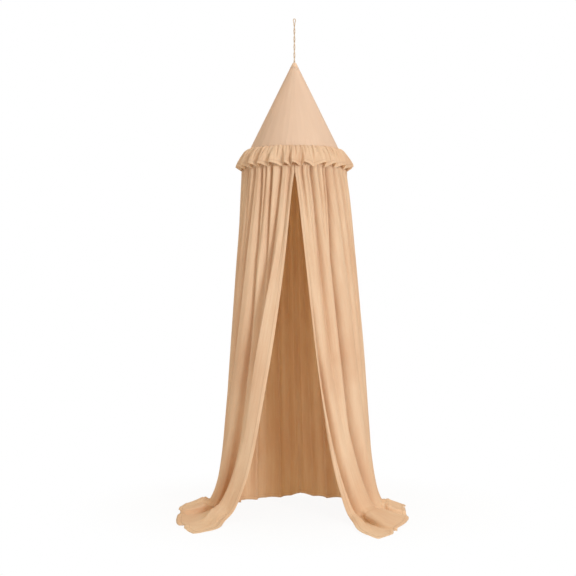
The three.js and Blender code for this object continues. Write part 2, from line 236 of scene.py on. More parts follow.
def curve_point(points, share):
    """A point of the smooth curve through the given points, from 0 at its start to 1 at its end."""
    last = len(points) - 1
    step = min(int(share * last), last - 1)
    part = share * last - step
    before, start, end, after = (points[min(max(step + offset, 0), last)] for offset in (-1, 0, 1, 2))
    leave, arrive = (end - before) / 2, (after - start) / 2
    bend = (2 * (start - end) + leave + arrive) * part ** 3
    return bend + (3 * (end - start) - 2 * leave - arrive) * part ** 2 + leave * part + start


def cord_route():
    """Up from the knot in a slow helix, round the eye, and down as the other strand."""
    start = knot_high.z + knot_gap
    twist_start = start + cord_diameter
    twist_end = -2 * eye_radius - cord_diameter
    steps = cord_half_turns * steps_per_half_turn
    rising = [on_circle(strand_offset, -math.pi * cord_half_turns, start)]
    for step in range(steps + 1):
        angle = math.pi * cord_half_turns * (step / steps - 1)
        height = twist_start + (twist_end - twist_start) * step / steps
        rising.append(on_circle(strand_offset, angle, height))
    neck = (twist_end - eye_radius + cord_diameter) / 2
    rising.append(Vector(((strand_offset + eye_radius) / 2, 0, neck)))
    rising.append(Vector((eye_radius, 0, -eye_radius / 4)))
    rising.append(Vector((eye_radius * math.sqrt(0.5), 0, eye_radius * math.sqrt(0.5))))
    falling = [Vector((-point.x, -point.y, point.z)) for point in reversed(rising)]
    return rising + [Vector((0, 0, eye_radius))] + falling


def twisted_cord(name, middle, turns, material):
    """The plies twisted round a middle line, as one mesh of round tubes."""
    curve = bpy.data.curves.new(name, "CURVE")
    curve.dimensions = "3D"
    curve.bevel_depth = ply_radius
    curve.bevel_resolution = 1
    curve.use_fill_caps = True
    for ply in range(plies):
        spline = curve.splines.new("POLY")
        spline.points.add(len(middle) - 1)
        across = Vector((1, 0, 0))
        for index, point in enumerate(middle):
            ahead = middle[min(index + 1, len(middle) - 1)] - middle[max(index - 1, 0)]
            across = (across - across.project(ahead)).normalized()
            beside = ahead.normalized().cross(across)
            angle = math.tau * (turns * index / (len(middle) - 1) + ply / plies)
            place = point + ply_offset * (across * math.cos(angle) + beside * math.sin(angle))
            spline.points[index].co = (*place, 1)
    tube = bpy.data.objects.new(name, curve)
    bpy.context.collection.objects.link(tube)
    data = bpy.data.meshes.new_from_object(tube.evaluated_get(bpy.context.evaluated_depsgraph_get()))
    bpy.data.objects.remove(tube)
    bpy.data.curves.remove(curve)
    mesh = bmesh.new()
    mesh.from_mesh(data)
    bpy.data.meshes.remove(data)
    bmesh.ops.remove_doubles(mesh, verts=mesh.verts, dist=merge_reach)
    bmesh.ops.recalc_face_normals(mesh, faces=mesh.faces)
    return new_object(name, mesh, material)


cord_material, shade = new_material("undyed_cotton_cord")
place = shade.node("TexCoord", output="Object")
fibre = shade.node("TexNoise", {}, {"Vector": place, "Scale": 900, "Detail": 3})
patch = shade.node("TexNoise", {}, {"Vector": place, "Scale": 60, "Detail": 2})
tone = shade.mix(patch, srgb(192, 166, 140), srgb(218, 196, 172))
tone = shade.mix(shade.smooth(fibre, 0.35, 0.7), tone, srgb(228, 208, 186))
relief = shade.node("Bump", {}, {"Height": fibre, "Strength": 0.5, "Distance": 0.0003})
surface = shade.node("BsdfPrincipled", {}, {
    "Base Color": tone, "Roughness": 0.95, "Normal": relief, "Specular IOR Level": 0.2,
})
shade.node("OutputMaterial", {}, {"Surface": surface})

route = cord_route()
middle_steps = steps_between_points * (len(route) - 1)
cord_middle = [curve_point(route, step / middle_steps) for step in range(middle_steps + 1)]
cord_length = sum((b - a).length for a, b in zip(cord_middle, cord_middle[1:]))
hanging_cord = twisted_cord("twisted_hanging_cord", cord_middle, ply_turns, cord_material)
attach(hanging_cord, "hanger")
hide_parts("hanging_cord")
tuple(cord_middle[0])
[tuple(point) for point in cord_middle]


# Stopper knot: both ends of the cord, tied in one round knot. It sits under the tip and carries the
# cone from inside.
knot_middle = (knot_low + knot_high) / 2
knot_reach = (knot_high.x - knot_low.x) / 2 - cord_diameter / 2
loop_middle = 0.62
loop_swing = 0.38
loop_rise = 0.8
knot_steps = 90
knot_ply_turns = 10


def knot_point(share):
    """A trefoil, wound tight enough to fill a ball."""
    angle = math.tau * share
    reach = knot_reach * (loop_middle + loop_swing * math.cos(3 * angle))
    height = loop_rise * knot_reach * math.sin(3 * angle)
    return knot_middle + on_circle(reach, 2 * angle, height)


knot_loops = [knot_point(step / knot_steps) for step in range(knot_steps + 1)]
stopper_knot = twisted_cord("tied_cord_knot", knot_loops, knot_ply_turns, cord_material)
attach(stopper_knot, "hanger")
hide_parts("cord_knot")


# Cone: front and back halves of smooth dyed cotton, cut as fans and sewn together down the sides.
# The cloth hangs straight from the tip to the hoop.
tip_height = 2.279
tip_radius = 0.0082
tip_trim = 0.002
crown_height = 1.828
crown_radius = 0.231
cone_slope = (crown_radius - tip_radius) / (tip_height - crown_height)
cone_side_gap = 0.0002
cone_seam_relief = 0.0009
cone_inset = 0.0003
cone_pull = 0.0012
cone_sag = 0.002
cone_pucker = 0.0016
cloth_thickness = 0.0012
hem_far_off = 1


def smooth(value, low, high):
    """0 at low, 1 at high, and smooth between them. Low may be the larger of the two."""
    share = min(1, max(0, (value - low) / (high - low)))
    return share * share * (3 - 2 * share)


def lerp(start, end, share):
    return start + (end - start) * share


def ripple(*place):
    """Smooth noise from about -1 to 1."""
    return noise.noise(Vector(place))


def ring_ripple(scale, angle, height):
    """Smooth noise round a ring, where it meets itself."""
    return ripple(scale * math.cos(angle), scale * math.sin(angle), height)


def laid_cloth(name, columns, rows, flat, surface, folds, material, hem=None, mirrored=False):
    """A cut of cloth as a fine grid. It is laid on surface(across, down), then moved out by
    folds(across, down). hem(across, down) is how far a point is from the nearest hemmed edge."""
    mesh = bmesh.new()
    bmesh.ops.create_grid(mesh, x_segments=columns, y_segments=rows, size=0.5)
    pattern = mesh.loops.layers.uv.new("cloth")
    from_hem = mesh.verts.layers.float.new("from_hem")
    shares = {}
    for vertex in mesh.verts:
        across = min(1, max(0, vertex.co.x + 0.5))
        down = min(1, max(0, 0.5 - vertex.co.y))
        shares[vertex] = (across, down)
        vertex.co = surface(across, down)
        vertex[from_hem] = hem(across, down) if hem else hem_far_off
    for face in mesh.faces:
        for loop in face.loops:
            across, down = shares[loop.vert]
            loop[pattern].uv = (across * flat[0], -down * flat[1])
    if mirrored:
        bmesh.ops.reverse_faces(mesh, faces=mesh.faces)
    mesh.normal_update()
    moves = [(vertex, vertex.normal * folds(*shares[vertex])) for vertex in mesh.verts]
    for vertex, move in moves:
        vertex.co += move
        vertex.co.z = max(vertex.co.z, floor_z + 1.2 * cloth_thickness)
    piece = new_object(name, mesh, material)
    thickness = piece.modifiers.new("cloth_thickness", "SOLIDIFY")
    thickness.thickness = cloth_thickness
    thickness.offset = -1
    return piece


# Hems, stitches and threads of the cotton, their painted highlight and shadow, and the light it lets
# through
hem_width = 0.02
hem_step = 0.0007
# Painted highlight along the turned edge of each hem: a paler rim in this tone, fading out between these
# distances from the hem
painted_hem_highlight_band = (0.002, 0.007)
painted_hem_highlight_tone = srgb(252, 232, 208)
stitch_line = 0.0175
stitch_length = 0.0036
stitch_depth = 0.0006
# Painted shadow in the stitch line: the stitches are darkened towards this tone
painted_stitch_shadow_tone = srgb(176, 128, 88)
warp_pitch = 0.0011
weft_pitch = 0.0013
weave_height = 0.00004
slub_height = 0.0001
light_through = 0.37
light_through_tone = srgb(255, 222, 158)


def dyed_cotton(name, deep, pale, crinkle):
    """Matt cotton in one dye, with crinkles of a given height, a painted highlight along the edge of
    each hem and painted shadow along its stitches. It reads the cloth's own pattern in metres, and
    how far a point is from the nearest hem."""
    material, shade = new_material(name)
    place = shade.node("UVMap", {"uv_map": "cloth"})
    from_hem = shade.node("Attribute", {"attribute_name": "from_hem"}, output="Fac")
    axes = shade.node("SeparateXYZ", {}, {0: place})
    across, along = axes, Shade(shade.tree, axes.socket.node.outputs["Y"])

    def grain(patches_across, patches_along, detail=2):
        """Smooth noise, with about so many patches in a metre each way."""
        scale = (patches_across, patches_along, 1)
        stretched = shade.node("Mapping", {}, {"Vector": place, "Scale": scale})
        sockets = {"Vector": stretched, "Scale": 1, "Detail": detail}
        return shade.node("TexNoise", {"noise_dimensions": "2D"}, sockets)

    blotch = grain(7, 2.5, 3)
    streak = grain(150, 7, 3)
    slub = grain(900, 60)
    share = shade.smooth(blotch * 0.5 + streak * 0.3 + slub * 0.2, 0.3, 0.7)
    tone = shade.mix(share, deep, pale)

    rim = 1 - shade.smooth(from_hem, *painted_hem_highlight_band)
    stitch_row = 1 - shade.smooth(shade.math("ABSOLUTE", from_hem - stitch_line), 0.0004, 0.0014)
    # Painted highlight: a paler rim along the turned edge of each hem
    tone = shade.mix(rim * 0.35, tone, painted_hem_highlight_tone)
    # Painted shadow: the stitch line is darkened. Its dent in the relief below is real bump
    tone = shade.mix(stitch_row * 0.3, tone, painted_stitch_shadow_tone)

    stitch = shade.math("SINE", (across + along) * (math.tau / stitch_length)) * 0.5 + 0.5
    turned_edge = 1 - shade.smooth(from_hem, hem_width - 0.0015, hem_width)
    hem_height = turned_edge * hem_step - stitch_row * (0.3 + 0.7 * stitch) * stitch_depth
    warp = shade.math("SINE", across * (math.tau / warp_pitch))
    weft = shade.math("SINE", along * (math.tau / weft_pitch))
    crinkles = grain(60, 26, 3) * 1.6 + grain(170, 70, 2) * 0.7
    height = crinkles * crinkle + warp * weft * weave_height + slub * slub_height + hem_height
    relief = shade.node("Bump", {}, {"Height": height, "Strength": 1, "Distance": 1})

    paint = shade.node("BsdfPrincipled", {}, {
        "Base Color": tone, "Roughness": 0.88, "Normal": relief, "Specular IOR Level": 0.25,
        "Sheen Weight": 0.12, "Sheen Roughness": 0.5,
    })
    lit_through = shade.mix(0.5, tone, light_through_tone)
    glow = shade.node("BsdfTranslucent", {}, {"Color": lit_through, "Normal": relief})
    surface = shade.node("MixShader", {}, {0: light_through, 1: paint, 2: glow})
    shade.node("OutputMaterial", {}, {"Surface": surface})
    return material


peach_cotton = dyed_cotton("peach_cotton", srgb(237, 208, 180), srgb(248, 229, 206), 0.0005)
cone_cotton = dyed_cotton("pressed_peach_cotton", srgb(238, 218, 201), srgb(246, 227, 211), 0.0002)


def cone_half(name, node, start_angle):
    """From side seam to side seam, counted to the right as seen from outside."""
    flat = (0.726, 0.503)

    def surface(across, down):
        height = lerp(tip_height - tip_trim, crown_height, down)
        radius = crown_radius + (crown_height - height) * cone_slope
        edge = cone_side_gap / radius
        angle = start_angle + lerp(edge, math.pi - edge, across)
        return on_circle(radius, angle, floor_z + height)

    def folds(across, down):
        angle = start_angle + math.pi * across
        from_seam = min(across, 1 - across)
        pull = ring_ripple(9, angle, 1.2 * down) * cone_pull * down
        sag = ring_ripple(2.2, angle, 2 * down) * cone_sag * smooth(down, 0, 0.4)
        pucker = smooth(down, 0.86, 1) * cone_pucker * ring_ripple(30, angle, 4 * down)
        seam = cone_seam_relief * smooth(from_seam, 0.022, 0.018)
        return (pull + sag + pucker) * smooth(from_seam, 0, 0.04) + seam - cone_inset

    piece = laid_cloth(name, 200, 90, flat, surface, folds, cone_cotton)
    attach(piece, "canopy")
    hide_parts(node)


cone_half("cone_front_cloth", "cone_front", math.pi)
cone_half("cone_back_cloth", "cone_back", 0)


# Tip binding: a small cap of folded cotton, stitched over the point of the cone. The cord comes
# out of the middle of its blunt end.
binding_stitch_height = 2.2575
binding_crinkle = 0.0004

# Radius and height above the floor, from inside the top, over the cap, to its lower edge
binding_profile = [
    (0.0061, 2.2755), (0.0061, 2.2785), (0.0069, 2.2793), (0.0078, 2.2788), (0.0086, 2.2772),
    (0.0110, 2.2735), (0.0140, 2.2675), (0.0178, 2.2600), (0.0211, 2.2555), (0.0213, 2.2549),
    (0.0206, 2.2548), (0.0196, 2.2556),
]

mesh = bmesh.new()
rim = [mesh.verts.new(on_circle(radius, 0, floor_z + height)) for radius, height in binding_profile]
edges = [mesh.edges.new(pair) for pair in zip(rim, rim[1:])]
bmesh.ops.spin(
    mesh, geom=rim + edges, cent=(0, 0, 0), axis=(0, 0, 1), angle=math.tau, steps=64, use_merge=True,
)
bmesh.ops.remove_doubles(mesh, verts=mesh.verts, dist=merge_reach)
bmesh.ops.recalc_face_normals(mesh, faces=mesh.faces)
for vertex in mesh.verts:
    angle = math.atan2(vertex.co.y, vertex.co.x)
    vertex.co += vertex.normal * binding_crinkle * ring_ripple(3, angle, 150 * vertex.co.z)

binding_material, shade = new_material("peach_binding")
place = shade.node("TexCoord", output="Object")
stretched = shade.node("Mapping", {}, {"Vector": place, "Scale": (500, 500, 90)})
slub = shade.node("TexNoise", {}, {"Vector": stretched, "Scale": 1, "Detail": 3})
tone = shade.mix(shade.smooth(slub, 0.3, 0.7), srgb(222, 190, 164), srgb(236, 208, 184))
from_stitches = shade.node("SeparateXYZ", {}, {0: place}, "Z") - (floor_z + binding_stitch_height)
stitch_row = 1 - shade.smooth(shade.math("ABSOLUTE", from_stitches), 0.0002, 0.0009)
height = slub * 0.0003 - stitch_row * stitch_depth
relief = shade.node("Bump", {}, {"Height": height, "Strength": 1, "Distance": 1})
paint = shade.node("BsdfPrincipled", {}, {
    "Base Color": tone, "Roughness": 0.88, "Normal": relief, "Specular IOR Level": 0.25,
})
shade.node("OutputMaterial", {}, {"Surface": paint})
tip_binding = new_object("tip_binding_cloth", mesh, binding_material)
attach(tip_binding, "canopy")
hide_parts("tip_binding")


# Hoop: a ring of pale extruded rod in two halves, joined end to end by two drawn steel sleeves.
# It lies in the casing and spreads the mouth of the cone.
rod_material, shade = new_material("extruded_rod")
place = shade.node("TexCoord", output="Object")
scuff = shade.node("TexNoise", {}, {"Vector": place, "Scale": 90, "Detail": 4})
relief = shade.node("Bump", {}, {"Height": scuff, "Strength": 0.2, "Distance": 0.0002})
paint = shade.node("BsdfPrincipled", {}, {
    "Base Color": shade.mix(scuff, srgb(226, 222, 210), srgb(238, 235, 226)),
    "Roughness": scuff * 0.2 + 0.35, "Normal": relief,
})
shade.node("OutputMaterial", {}, {"Surface": paint})

sleeve_material, shade = new_material("drawn_steel")
place = shade.node("TexCoord", output="Object")
stretched = shade.node("Mapping", {}, {"Vector": place, "Scale": (2400, 60, 2400)})
draw_line = shade.node("TexNoise", {}, {"Vector": stretched, "Scale": 1, "Detail": 2})
relief = shade.node("Bump", {}, {"Height": draw_line, "Strength": 0.3, "Distance": 0.0001})
paint = shade.node("BsdfPrincipled", {}, {
    "Base Color": shade.mix(draw_line, srgb(168, 170, 173), srgb(200, 202, 204)),
    "Metallic": 1, "Roughness": draw_line * 0.25 + 0.22, "Normal": relief,
})
shade.node("OutputMaterial", {}, {"Surface": paint})


def finish_node(node, material):
    """Gives a carried-over piece of the model its finish."""
    piece = bpy.data.objects[node]
    piece.data.materials.clear()
    piece.data.materials.append(material)


for half in ("hoop_front_half", "hoop_back_half"):
    finish_node(half, rod_material)
for sleeve in ("left_hoop_sleeve", "right_hoop_sleeve"):
    finish_node(sleeve, sleeve_material)


# Hoop casing: a strip of cotton folded round the hoop as a tunnel. Its two edges are caught in the
# crown seam.
hoop_height = 1.795
hoop_radius = 0.244
casing_radius = 0.0088
casing_edge_radius = 0.2243
casing_edge_height = crown_height - 0.001
casing_lip_reach = 0.0195
casing_lip_share = 0.22
casing_open_share = 0.04
casing_crinkle = 0.0005


def casing_surface(across, down):
    """Down runs from the outer edge at the seam, round the hoop, to the inner edge at the seam."""
    lip_angle = math.atan2(casing_edge_height - hoop_height, -casing_lip_reach)
    share = smooth(down, 0.3, 0.7) * 0.55 + down * 0.45
    angle = lip_angle - math.tau * lerp(casing_open_share, 1 - casing_open_share, share)
    ring = casing_radius * Vector((math.cos(angle), math.sin(angle)))
    middle = Vector((hoop_radius, hoop_height))
    seam = Vector((casing_edge_radius - cloth_thickness * down, casing_edge_height))
    lip = max(0, 1 - min(down, 1 - down) / casing_lip_share)
    place = (middle + ring).lerp(seam, smooth(lip, 0, 1))
    return on_circle(place.x, -math.tau * across, floor_z + place.y)


def casing_folds(across, down):
    return casing_crinkle * ring_ripple(70, math.tau * across, 3 * down)


casing_flat = (1.533, 0.098)
hoop_casing = laid_cloth(
    "hoop_casing_cloth", 360, 28, casing_flat, casing_surface, casing_folds, peach_cotton,
)
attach(hoop_casing, "canopy")
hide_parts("hoop_casing")


# Drape heading: the gathered strip on top of the drape. It goes up over the casing into the crown
# seam, behind the ruffle.
heading_pleat_height = 0.0032
heading_fine_height = 0.0016


def line_through(*pairs):
    """The points that curve_point runs its smooth curve through."""
    return [Vector(pair) for pair in pairs]


# Radius and height above the floor, from the crown seam down
heading_rows = line_through(
    (0.2262, 1.8268), (0.2420, 1.8120), (0.2552, 1.8000), (0.2592, 1.7700), (0.2612, 1.7270),
)


def heading_surface(across, down):
    place = curve_point(heading_rows, down)
    return on_circle(place.x, math.tau * across, floor_z + place.y)


def heading_folds(across, down):
    angle = math.tau * across
    pleat = ring_ripple(26, angle, 1.5 * down)
    fine = ring_ripple(60, angle, 3 * down)
    return smooth(down, 0, 0.3) * (heading_pleat_height * pleat + heading_fine_height * fine)


heading_flat = (1.62, 0.106)
drape_heading = laid_cloth(
    "gathered_heading", 540, 26, heading_flat, heading_surface, heading_folds, peach_cotton,
)
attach(drape_heading, "canopy")
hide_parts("drape_heading")


# Drape, front curtains: each is one length of crinkled cotton from the heading to the floor, and on
# into a train. Its folds follow the threads of the cloth, narrow at the top and broad below.
drape_top_height = 1.736
drape_turn_height = 1.693
drape_top_radius = 0.2596
drape_top_arc = 0.408
side_seam_gap = 0.0015
seam_share = 0.035
seam_rounding = 0.003
floor_rounding = 0.022
floor_turn_reach = 0.15
least_train = 0.001
least_stand = 0.0016

# Two powers of the fall give the side view of a thread: a slow one, and a late kick at the foot
side_kick = 14
kick_share = 0.25
opening_reach = 0.09

# Heights of the folds: ridges and valleys at the top and low down, ridges from the turn on the floor
# to the hem, then the finer forms
ridge_heights = (0.0125, 0.023)
valley_depths = (0.028, 0.045)
valley_rounding = 0.35
valley_wander = 0.004
train_ridge_heights = (0.024, 0.006)
gather_height = 0.0046
fine_gather_height = 0.0012
slack_height = 0.006
crease_height = 0.0022
wrinkle_height = 0.003
rim_height = 0.004

# How far across a lobe of the train fades out at its end, and how far its overhang reaches
lobe_fade = 0.022
overhang_reach = 0.09

# Plan of each curtain on the floor, aside and forward of the hook: where it lands, and its hem, both
# from the side seam to the free edge
left_landing = line_through(
    (0.335, 0), (0.390, 0.035), (0.418, 0.080), (0.430, 0.115), (0.430, 0.150), (0.425, 0.185),
    (0.408, 0.210), (0.378, 0.325), (0.314, 0.430),
)
left_hem = line_through(
    (0.335, 0), (0.440, 0.004), (0.517, 0.012), (0.548, 0.050), (0.565, 0.105), (0.575, 0.180),
    (0.576, 0.275), (0.556, 0.520), (0.466, 0.716),
)
right_landing = line_through(
    (0.375, 0), (0.414, 0.040), (0.436, 0.085), (0.442, 0.135), (0.438, 0.195), (0.424, 0.258),
    (0.392, 0.315), (0.334, 0.380), (0.254, 0.440),
)
right_hem = line_through(
    (0.375, 0), (0.482, 0.008), (0.540, 0.040), (0.562, 0.095), (0.551, 0.205), (0.551, 0.330),
    (0.538, 0.470), (0.468, 0.680), (0.372, 0.830),
)

# Valleys between the folds: their places across at the top, at each quarter of the fall and at the
# hem, their widths at the top and low down, and their depths at the same heights as the places
left_valleys = [
    ((0.070, 0.07, 0.07, 0.06, 0.06, 0.06), (0.013, 0.040), (0.8, 0.6, 0.5, 0.4, 0.3, 0.2)),
    ((0.150, 0.16, 0.17, 0.17, 0.17, 0.17), (0.012, 0.030), (0.9, 0.4, 0.3, 0.2, 0.1, 0.1)),
    ((0.225, 0.23, 0.24, 0.24, 0.25, 0.25), (0.012, 0.040), (0.9, 0.6, 0.6, 0.6, 0.5, 0.4)),
    ((0.300, 0.28, 0.27, 0.27, 0.27, 0.27), (0.016, 0.030), (1.3, 0.5, 0.1, 0.0, 0.0, 0.0)),
    ((0.365, 0.36, 0.36, 0.36, 0.36, 0.36), (0.012, 0.030), (0.9, 0.1, 0.0, 0.0, 0.0, 0.0)),
    ((0.455, 0.43, 0.42, 0.39, 0.38, 0.37), (0.017, 0.050), (1.3, 1.0, 0.8, 0.4, 0.3, 0.3)),
    ((0.570, 0.615, 0.68, 0.72, 0.71, 0.72), (0.017, 0.050), (1.3, 1.1, 1.0, 1.0, 1.7, 1.4)),
    ((0.640, 0.66, 0.68, 0.68, 0.68, 0.68), (0.011, 0.030), (1.0, 0.1, 0.0, 0.0, 0.0, 0.0)),
    ((0.710, 0.755, 0.79, 0.80, 0.80, 0.80), (0.015, 0.030), (1.4, 0.9, 0.1, 0.0, 0.0, 0.0)),
    ((0.835, 0.825, 0.83, 0.86, 0.88, 0.88), (0.017, 0.045), (1.3, 1.2, 1.2, 0.9, 0.0, 0.0)),
    ((0.950, 0.945, 0.94, 0.94, 0.94, 0.91), (0.012, 0.030), (0.8, 0.2, 0.0, 0.0, 0.3, 0.6)),
]
right_valleys = [
    ((0.060, 0.06, 0.07, 0.07, 0.07, 0.07), (0.014, 0.035), (0.8, 0.3, 0.2, 0.2, 0.2, 0.2)),
    ((0.140, 0.15, 0.15, 0.15, 0.15, 0.15), (0.012, 0.030), (0.9, 0.4, 0.2, 0.1, 0.1, 0.1)),
    ((0.250, 0.25, 0.25, 0.25, 0.25, 0.25), (0.014, 0.040), (0.9, 0.4, 0.3, 0.4, 0.4, 0.3)),
    ((0.355, 0.36, 0.37, 0.37, 0.37, 0.37), (0.013, 0.035), (0.9, 0.4, 0.2, 0.2, 0.3, 0.3)),
    ((0.465, 0.48, 0.49, 0.49, 0.46, 0.44), (0.014, 0.040), (0.9, 0.5, 0.3, 0.2, 0.3, 0.8)),
    ((0.580, 0.685, 0.70, 0.705, 0.61, 0.56), (0.017, 0.038), (1.5, 1.5, 1.5, 1.8, 2.1, 0.3)),
    ((0.640, 0.74, 0.75, 0.75, 0.75, 0.75), (0.011, 0.030), (1.0, 0.1, 0.0, 0.0, 0.0, 0.0)),
    ((0.710, 0.76, 0.77, 0.77, 0.77, 0.77), (0.011, 0.030), (0.7, 0.1, 0.0, 0.0, 0.0, 0.0)),
    ((0.795, 0.835, 0.85, 0.835, 0.83, 0.83), (0.015, 0.050), (1.6, 1.2, 0.9, 0.4, 0.0, 0.0)),
    ((0.850, 0.88, 0.88, 0.88, 0.88, 0.88), (0.011, 0.030), (0.8, 0.1, 0.0, 0.0, 0.0, 0.0)),
    ((0.915, 0.945, 0.95, 0.95, 0.95, 0.95), (0.012, 0.030), (0.9, 0.2, 0.0, 0.0, 0.0, 0.0)),
    ((0.990, 0.985, 0.975, 0.945, 0.905, 0.875), (0.010, 0.020), (0.0, 0.0, 0.6, 1.5, 1.7, 1.3)),
]


def at_fall(values, fall):
    """A value between the given ones, whose places go from 0 to 1 down the fall, then to the hem."""
    step = min(int(fall * 4), len(values) - 2)
    return lerp(values[step], values[step + 1], fall * 4 - step)


def valley_cut(valleys, across, fall, lean=0):
    """How deep the valleys cut at a point: 0 on a ridge, about 1 in a valley. Lean makes one wall
    steeper than the other."""
    cut = 0
    for places, widths, depths in valleys:
        place = at_fall(places, fall) + valley_wander * ripple(9 * places[0], 3 * fall, 5)
        width = lerp(*widths, min(1, fall))
        reach = (across - place) / width
        reach *= 1 + lean if reach > 0 else 1 - lean
        if abs(reach) < 6:
            share = math.exp(valley_rounding - math.hypot(reach, valley_rounding))
            cut += at_fall(depths, fall) * share
    return cut


def gathers(across, fall, seed):
    """Small pleats under the heading, which die out on the way down."""
    along_top = across * drape_top_arc
    fade = (1 - smooth(fall, 0.02, 0.30)) * 0.7 + (1 - smooth(fall, 0.2, 0.62)) * 0.3
    pleat = 1 - 2 * abs(ripple(along_top * 46, 1.4 * fall, seed))
    fine = ripple(along_top * 130, 4 * fall, seed + 3)
    return fade * (gather_height * (pleat - 0.55) + fine_gather_height * fine)


def slack(across, fall, seed):
    """Broad slow waves, which begin below the gathers."""
    return slack_height * smooth(fall, 0.1, 0.4) * ripple(across * 6.5, 2.1 * fall, seed)


def dent(value, place, width):
    """1 at the place, and 0 a few widths from it."""
    return math.exp(-((value - place) / width) ** 2)


def front_curtain(name, node, side, landing, hem_line, powers, opening, bow, valleys, lean, lip,
                  lobes, notches, flat, seed):
    """One curtain, counted across from its side seam to its free edge.

    powers: of the fall, at the side seam and at the free edge, then the free edge's late kick
    opening, bow: how far the free edge is drawn aside under the heading, and how far the train curves
    valleys, lean: the valleys of its folds, and how far they lean to one side
    lip: the curled free edge, as its places down the fall, its height, and where it starts and is full
    lobes: of the train, each with its start, full height and end across, its rise and its overhang
    notches: in the hem, each with its place across, its width, its depth and its lift"""
    top_angle = math.pi / 2 - side_seam_gap / drape_top_radius
    sheet_top = drape_top_height - drape_turn_height
    side_power, front_power, front_kick = powers
    lip_places, lip_height, lip_from, lip_to = lip

    def train_line(across):
        """Where one thread lands, where it ends at the hem, and the length between them."""
        touch = curve_point(landing, across)
        edge = curve_point(hem_line, across)
        return touch, edge, (edge - touch).length

    def measure(down, floor_length):
        """How far down its thread a point lies: in metres, as a share of the fall, then of the train."""
        along = down * (sheet_top + drape_turn_height + floor_length) - sheet_top
        fall = min(1, max(0, along / drape_turn_height))
        floor_share = max(0, along - drape_turn_height) / max(floor_length, 0.0001)
        return along, fall, floor_share

    def surface(across, down):
        touch, edge, floor_length = train_line(across)
        along, fall, floor_share = measure(down, floor_length)
        top = drape_top_radius * Vector((math.cos(top_angle * across), math.sin(top_angle * across)))
        power = lerp(side_power, front_power, across)
        kick = lerp(side_kick, front_kick, across)
        spread = (1 - kick_share) * fall ** power + kick_share * fall ** kick
        spread += opening * across ** 8 * fall * math.exp(-fall / opening_reach)
        free_of_seam = min(1, across / 0.2)
        plan = top.lerp(touch, lerp(fall, spread, free_of_seam))

        ahead = aside = Vector((0, 0))
        if floor_length > least_train:
            ahead = (edge - touch) / floor_length
            aside = Vector((-ahead.y, ahead.x))
            curve = floor_share ** 2 * (1 - floor_share) * 27 / 4
            plan = plan.lerp(edge, floor_share) + aside * (bow * curve * across ** 3)
            slope = lerp(1, (1 - kick_share) * power + kick_share * kick, free_of_seam)
            arriving = (touch - top) * slope / drape_turn_height
            reach = min(floor_turn_reach, floor_length)
            beyond = min(reach, abs(along - drape_turn_height))
            plan = plan + (ahead - arriving) * ((reach - beyond) ** 2 / (4 * reach))

        above = drape_turn_height - along
        rounding = lerp(seam_rounding, floor_rounding, smooth(across, 0, 0.2))
        if abs(above) < 8 * rounding:
            above = rounding * math.log(1 + math.exp(above / rounding))
        above = max(0, above)
        for start, full, end, rise, overhang in lobes:
            lobe = smooth(across, start, full) * (1 - smooth(across, end - lobe_fade, end))
            lobe *= smooth(fall, 0.975, 1) * (1 - 0.6 * floor_share) * min(1, 0.4 + 3 * floor_share)
            near_end = smooth(across, end - overhang_reach, end - lobe_fade) * smooth(floor_share, 0, 0.2)
            plan = plan + aside * (overhang * lobe * near_end)
            above += rise * lobe
        for place, width, depth, lift in notches:
            cut = dent(across, place, width) * smooth(floor_share, 0.8, 1)
            plan = plan - ahead * (depth * cut)
            above += lift * cut
        return Vector((side * plan.x, -plan.y, floor_z + above))

    def folds(across, down):
        floor_length = train_line(across)[2]
        along, fall, floor_share = measure(down, floor_length)
        place = fall + floor_share / 4
        height = lerp(*ridge_heights, smooth(fall, 0, 0.7))
        height = lerp(height, lerp(*train_ridge_heights, floor_share), smooth(fall, 0.97, 1))
        depth = lerp(*valley_depths, smooth(fall, 0, 0.6)) * (1 - 0.4 * smooth(floor_share, 0, 0.8))
        ridge = height - depth * valley_cut(valleys, across, place, lean)

        lip_place = at_fall(lip_places, place)
        curl = smooth(across, lip_place - 0.012, lip_place + 0.012) * (1 - across) / (1 - lip_place)
        curl *= smooth(fall, lip_from, lip_to) * (1 - smooth(floor_share, 0.1, 0.7))
        loose = lerp(1, smooth(floor_length, 0.02, 0.14), smooth(fall, 0.95, 1))
        crease = loose * ripple(across * 16, 5 * fall + 2 * floor_share, seed + 7)
        crease *= smooth(across, 0.02, 0.2)
        move = ridge + lip_height * curl + crease_height * crease + gathers(across, fall, seed)
        move += slack(across, fall, seed) * (1 - smooth(floor_share, 0, 0.4))
        move *= smooth(across, 0, seam_share)
        move = max(move, least_stand - 0.7 * max(0, drape_turn_height - along))

        if floor_share > 0:
            wrinkle = wrinkle_height * loose * max(0, ripple(across * 22, 2.4 * floor_share, seed + 4))
            wrinkle *= (1 - floor_share) * smooth(across, 0.05, 0.25)
            rim = 0.0018 + rim_height * loose * max(0, ripple(across * 9, seed, 2))
            move = lerp(max(move + wrinkle, least_stand), rim, smooth(floor_share, 0.86, 1))
        return move * smooth(down, 0, 0.01)

    def from_hem(across, down):
        floor_length = train_line(across)[2]
        to_hem = drape_turn_height + floor_length - measure(down, floor_length)[0]
        return min(to_hem, (1 - across) * flat[0])

    piece = laid_cloth(name, 176, 236, flat, surface, folds, peach_cotton, from_hem, mirrored=side > 0)
    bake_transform(piece)
    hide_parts(node)


